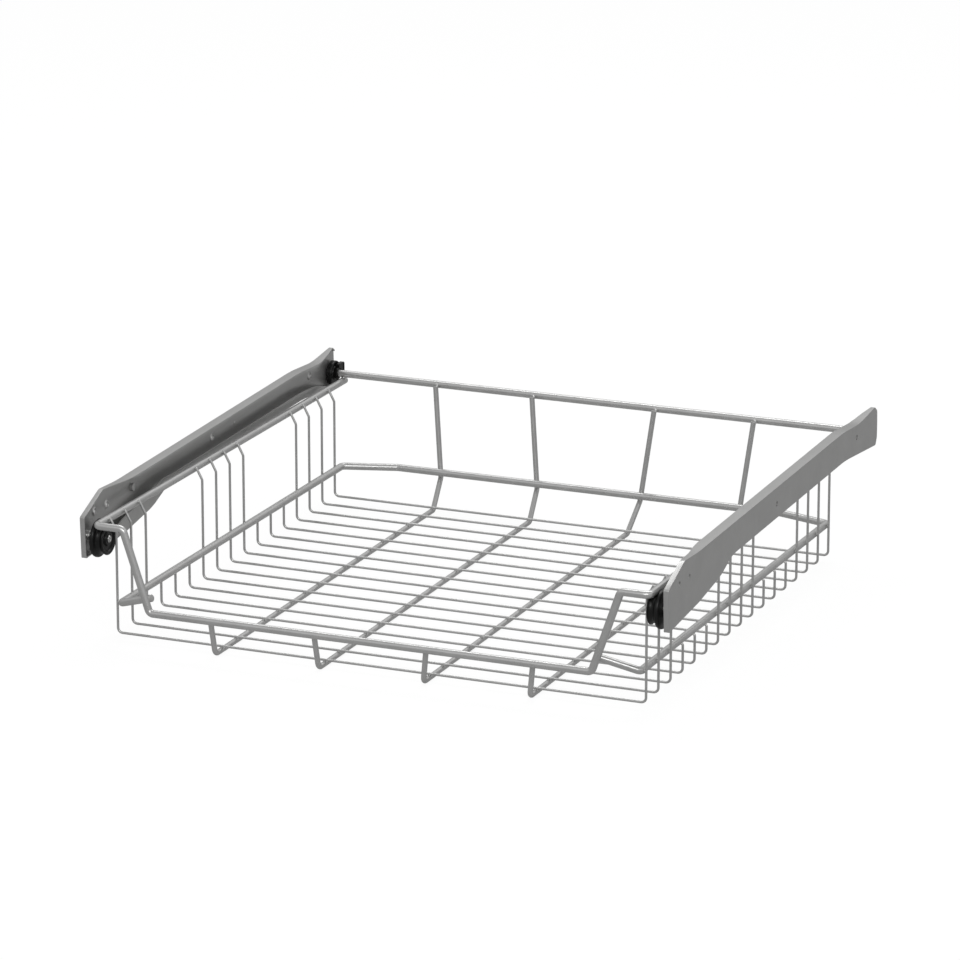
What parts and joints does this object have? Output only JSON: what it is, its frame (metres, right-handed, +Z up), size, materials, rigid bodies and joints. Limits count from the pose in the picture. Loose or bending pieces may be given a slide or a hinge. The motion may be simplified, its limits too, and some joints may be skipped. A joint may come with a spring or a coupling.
{
  "type": "pull-out cabinet basket",
  "caption": "Wire basket for a base cabinet, hung between two pressed steel rails and pulled out on rollers, with a lowered front and screw holes in the rails.",
  "frame": {"origin": "middle of the part in X and Y, at the height of the lowest wires under the basket's floor, with the basket closed", "axes": "+X to the right as seen from the front, +Y into the cabinet, +Z up; the basket pulls out along -Y"},
  "size_m": [0.564, 0.554, 0.1418],
  "materials": {
    "wire_coating": "satin silver-grey coating on steel wire",
    "rail_coating": "satin silver-grey coating on pressed sheet steel",
    "rivet_steel": "bright plated steel",
    "black_plastic": "semi-matte black plastic"
  },
  "bodies": {
    "rails": {"rail_web_left": "rail_coating", "rail_front_edge_left": "rail_coating", "rail_belly_edge_left": "rail_coating", "rail_track_left": "rail_coating", "rail_upper_edge_left": "rail_coating", "front_axle_left": "rivet_steel", "pull_out_stop_left": "rail_coating", "rail_web_right": "rail_coating", "rail_front_edge_right": "rail_coating", "rail_belly_edge_right": "rail_coating", "rail_track_right": "rail_coating", "rail_upper_edge_right": "rail_coating", "front_axle_right": "rivet_steel", "pull_out_stop_right": "rail_coating"},
    "basket": {"cross_wire_01": "wire_coating", "cross_wire_02": "wire_coating", "cross_wire_03": "wire_coating", "cross_wire_04": "wire_coating", "cross_wire_05": "wire_coating", "cross_wire_06": "wire_coating", "cross_wire_07": "wire_coating", "cross_wire_08": "wire_coating", "cross_wire_09": "wire_coating", "cross_wire_10": "wire_coating", "cross_wire_11": "wire_coating", "cross_wire_12": "wire_coating", "cross_wire_13": "wire_coating", "cross_wire_14": "wire_coating", "cross_wire_15": "wire_coating", "cross_wire_16": "wire_coating", "cross_wire_17": "wire_coating", "long_wire_1": "wire_coating", "long_wire_2": "wire_coating", "long_wire_3": "wire_coating", "long_wire_4": "wire_coating", "top_frame_wire": "wire_coating", "middle_frame_wire": "wire_coating", "rear_bar": "wire_coating", "rear_guide_left": "black_plastic", "rear_guide_right": "black_plastic"},
    "front_roller_left": {"front_roller_left": "black_plastic"},
    "rear_roller_left": {"rear_roller_left": "black_plastic"},
    "front_roller_right": {"front_roller_right": "black_plastic"},
    "rear_roller_right": {"rear_roller_right": "black_plastic"}
  },
  "joints": [
    {"name": "basket_slide", "type": "slide", "parent": "rails", "child": "basket", "axis": [0, -1, 0], "range_m": [0, 0.418]},
    {"name": "front_roller_left_spin", "type": "hinge", "parent": "rails", "child": "front_roller_left", "pos_m": [-0.26667, -0.25491, 0.09383], "axis": [1, 0, 0], "continuous": true},
    {"name": "rear_roller_left_spin", "type": "hinge", "parent": "basket", "child": "rear_roller_left", "pos_m": [-0.27615, 0.26449, 0.11731], "axis": [1, 0, 0], "continuous": true},
    {"name": "front_roller_right_spin", "type": "hinge", "parent": "rails", "child": "front_roller_right", "pos_m": [0.26667, -0.25491, 0.09383], "axis": [1, 0, 0], "continuous": true},
    {"name": "rear_roller_right_spin", "type": "hinge", "parent": "basket", "child": "rear_roller_right", "pos_m": [0.27615, 0.26449, 0.11731], "axis": [1, 0, 0], "continuous": true}
  ],
  "couplings": [
    {"joint": "front_roller_left_spin", "follows": "basket_slide", "rad_per_m": 76.923},
    {"joint": "rear_roller_left_spin", "follows": "basket_slide", "rad_per_m": 83.333},
    {"joint": "front_roller_right_spin", "follows": "basket_slide", "rad_per_m": 76.923},
    {"joint": "rear_roller_right_spin", "follows": "basket_slide", "rad_per_m": 83.333}
  ]
}
